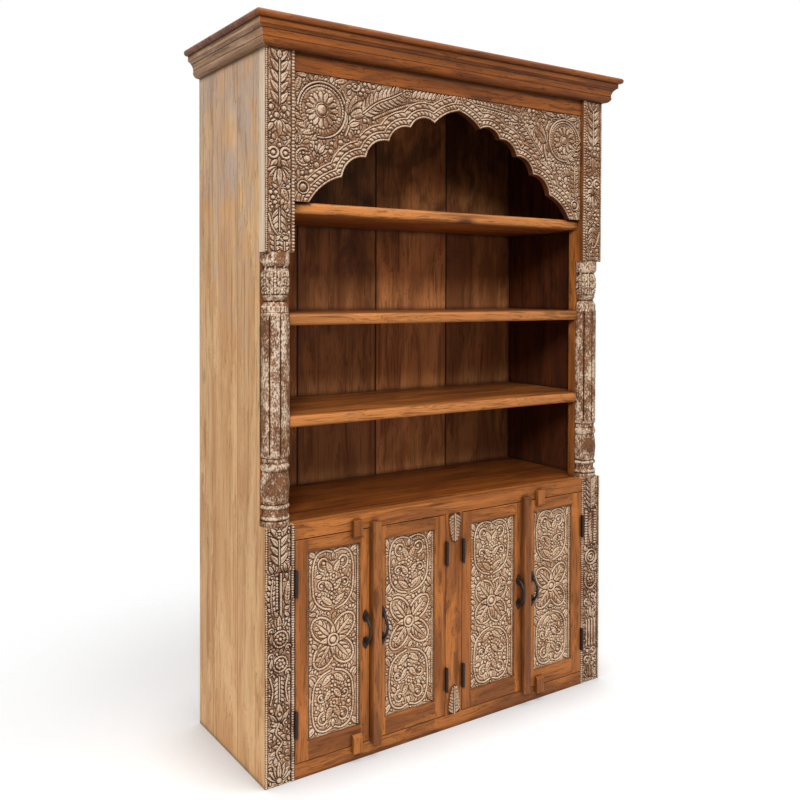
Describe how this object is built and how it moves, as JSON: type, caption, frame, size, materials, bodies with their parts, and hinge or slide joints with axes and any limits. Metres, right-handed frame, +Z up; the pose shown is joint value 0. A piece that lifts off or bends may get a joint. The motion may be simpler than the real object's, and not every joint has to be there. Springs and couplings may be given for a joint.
{
  "type": "carved arch bookcase with doors",
  "caption": "Tall free-standing bookcase: open shelves behind a lobed carved arch and half-round columns, over a cupboard with framed, carved and hinged doors.",
  "frame": {"origin": "middle of the footprint of the bounding box, on the floor", "axes": "+X to the right seen from the front, +Y from the front to the back, +Z up"},
  "size_m": [1.21, 0.453, 1.829],
  "materials": {
    "pale_side_wood": "waxed, satin, with grey worn patches",
    "waxed_front_wood": "waxed, satin",
    "dark_inner_wood": "dark stained, matt",
    "whitewashed_carving": "hand carved, limewashed and rubbed back to brown wood",
    "forged_iron": "forged, oiled, dark"
  },
  "bodies": {
    "case": {"arch_left": "whitewashed_carving", "arch_right": "whitewashed_carving", "back_boards": "dark_inner_wood", "bottom_board": "dark_inner_wood", "bottom_rail": "waxed_front_wood", "cap_board": "waxed_front_wood", "cornice_front": "waxed_front_wood", "cornice_left": "waxed_front_wood", "cornice_right": "waxed_front_wood", "counter_board": "waxed_front_wood", "counter_rail": "waxed_front_wood", "cupboard_shelf": "dark_inner_wood", "frame_hinge_leaves": "forged_iron", "frame_hinge_screws": "forged_iron", "header_rail": "waxed_front_wood", "left_column": "whitewashed_carving", "left_lower_carving": "whitewashed_carving", "left_side": "pale_side_wood", "left_stile": "pale_side_wood", "left_upper_carving": "whitewashed_carving", "low_shelf": "waxed_front_wood", "middle_shelf": "waxed_front_wood", "mullion": "waxed_front_wood", "mullion_leaves": "whitewashed_carving", "right_column": "whitewashed_carving", "right_lower_carving": "whitewashed_carving", "right_side": "pale_side_wood", "right_stile": "pale_side_wood", "right_upper_carving": "whitewashed_carving", "top_shelf": "waxed_front_wood"},
    "door_1": {"door_1_fixings": "forged_iron", "door_1_hinge_leaves": "forged_iron", "door_1_panel": "whitewashed_carving", "door_1_pull": "forged_iron", "door_1_rails": "waxed_front_wood", "door_1_stiles": "waxed_front_wood", "door_1_stop_blocks": "waxed_front_wood"},
    "door_2": {"door_2_batten": "waxed_front_wood", "door_2_fixings": "forged_iron", "door_2_hinge_leaves": "forged_iron", "door_2_panel": "whitewashed_carving", "door_2_pull": "forged_iron", "door_2_rails": "waxed_front_wood", "door_2_stiles": "waxed_front_wood"},
    "door_3": {"door_3_batten": "waxed_front_wood", "door_3_fixings": "forged_iron", "door_3_hinge_leaves": "forged_iron", "door_3_panel": "whitewashed_carving", "door_3_pull": "forged_iron", "door_3_rails": "waxed_front_wood", "door_3_stiles": "waxed_front_wood"},
    "door_4": {"door_4_fixings": "forged_iron", "door_4_hinge_leaves": "forged_iron", "door_4_panel": "whitewashed_carving", "door_4_pull": "forged_iron", "door_4_rails": "waxed_front_wood", "door_4_stiles": "waxed_front_wood", "door_4_stop_blocks": "waxed_front_wood"}
  },
  "joints": [
    {"name": "door_1_hinge", "type": "hinge", "parent": "case", "child": "door_1", "pos_m": [-0.48325, -0.1879, 0.308], "axis": [0, 0, -1], "range_deg": [0, 170]},
    {"name": "door_2_hinge", "type": "hinge", "parent": "case", "child": "door_2", "pos_m": [-0.02825, -0.1879, 0.308], "axis": [0, 0, 1], "range_deg": [0, 90]},
    {"name": "door_3_hinge", "type": "hinge", "parent": "case", "child": "door_3", "pos_m": [0.02825, -0.1879, 0.308], "axis": [0, 0, -1], "range_deg": [0, 90]},
    {"name": "door_4_hinge", "type": "hinge", "parent": "case", "child": "door_4", "pos_m": [0.48325, -0.1879, 0.308], "axis": [0, 0, 1], "range_deg": [0, 170]}
  ]
}
